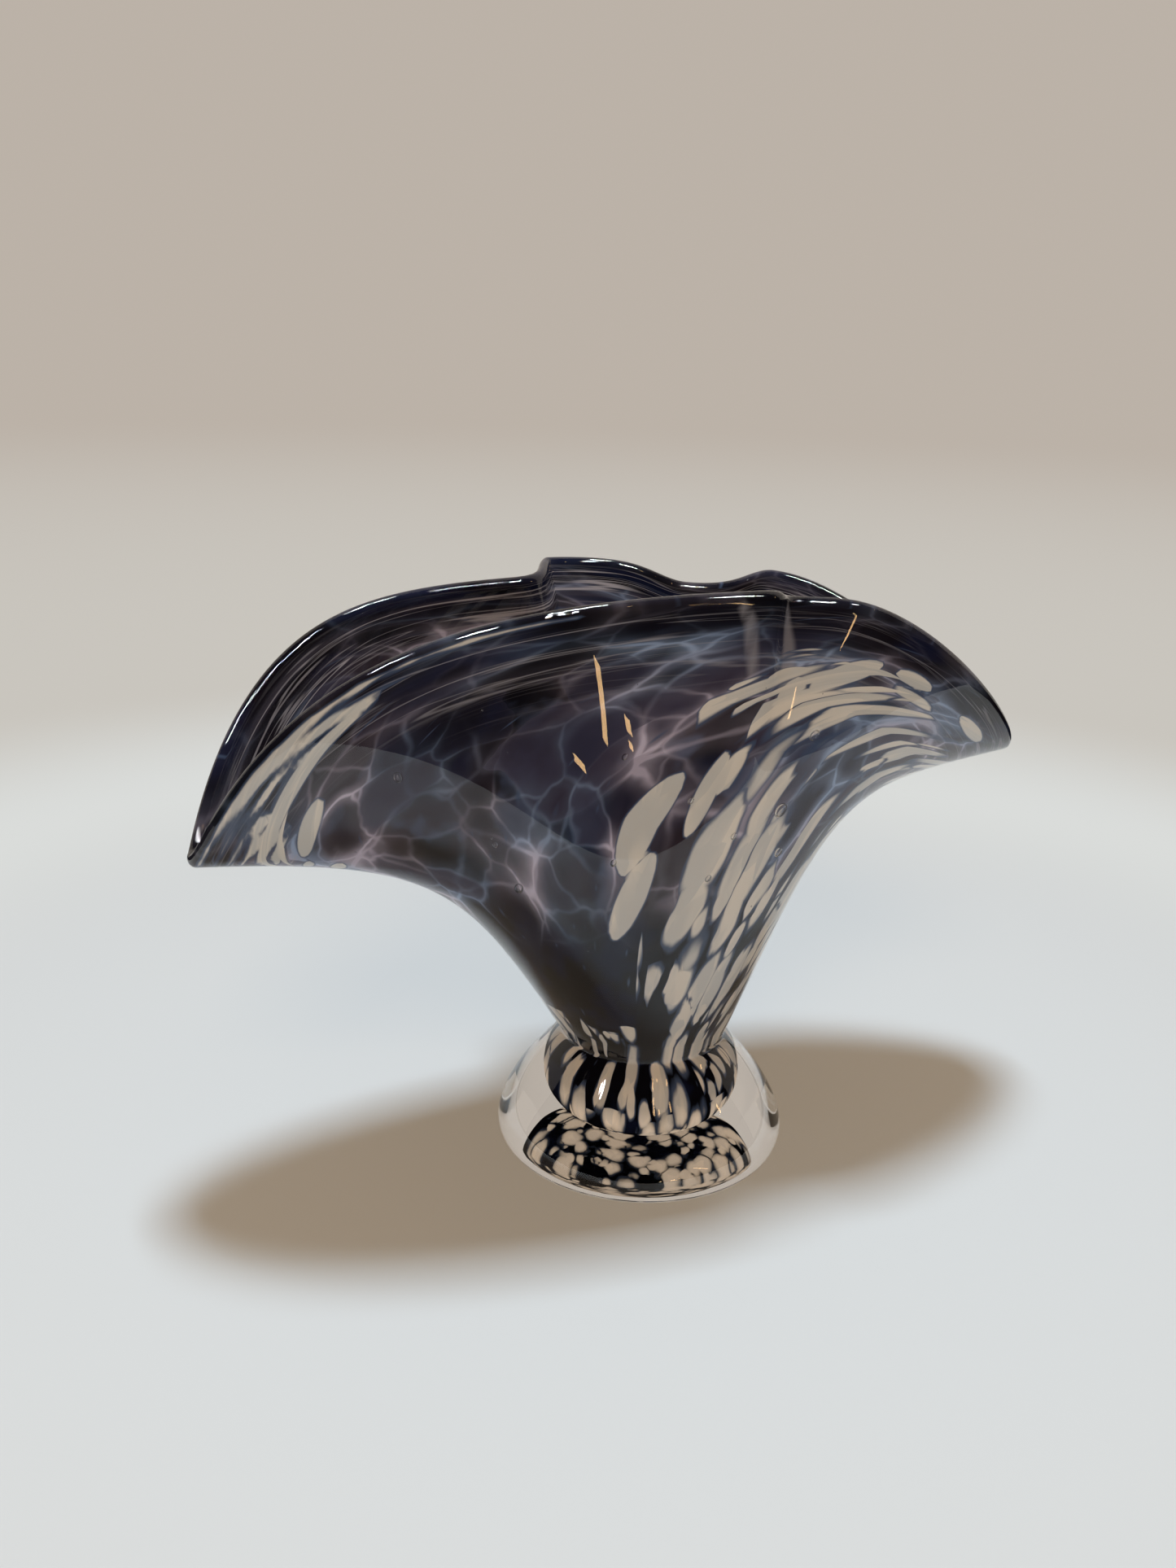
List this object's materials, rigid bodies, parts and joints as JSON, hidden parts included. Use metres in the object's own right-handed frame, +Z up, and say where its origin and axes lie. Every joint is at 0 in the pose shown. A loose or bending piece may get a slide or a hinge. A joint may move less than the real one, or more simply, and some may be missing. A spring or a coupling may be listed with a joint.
{
  "type": "glass vase",
  "caption": "Blown glass vase with a flared foot, a narrow waist and a wide fan-shaped mouth with a folded rim.",
  "frame": {"origin": "middle of the flat ground base, on the surface that the vase stands on", "axes": "+X along the fan from its lower tip to its higher tip, -Y towards the front wall, +Z up"},
  "size_m": [0.2406, 0.1028, 0.1706],
  "materials": {
    "clear_glass": "polished",
    "coloured_glass": "polished"
  },
  "bodies": {
    "root": {"vase": "clear_glass"}
  },
  "joints": []
}
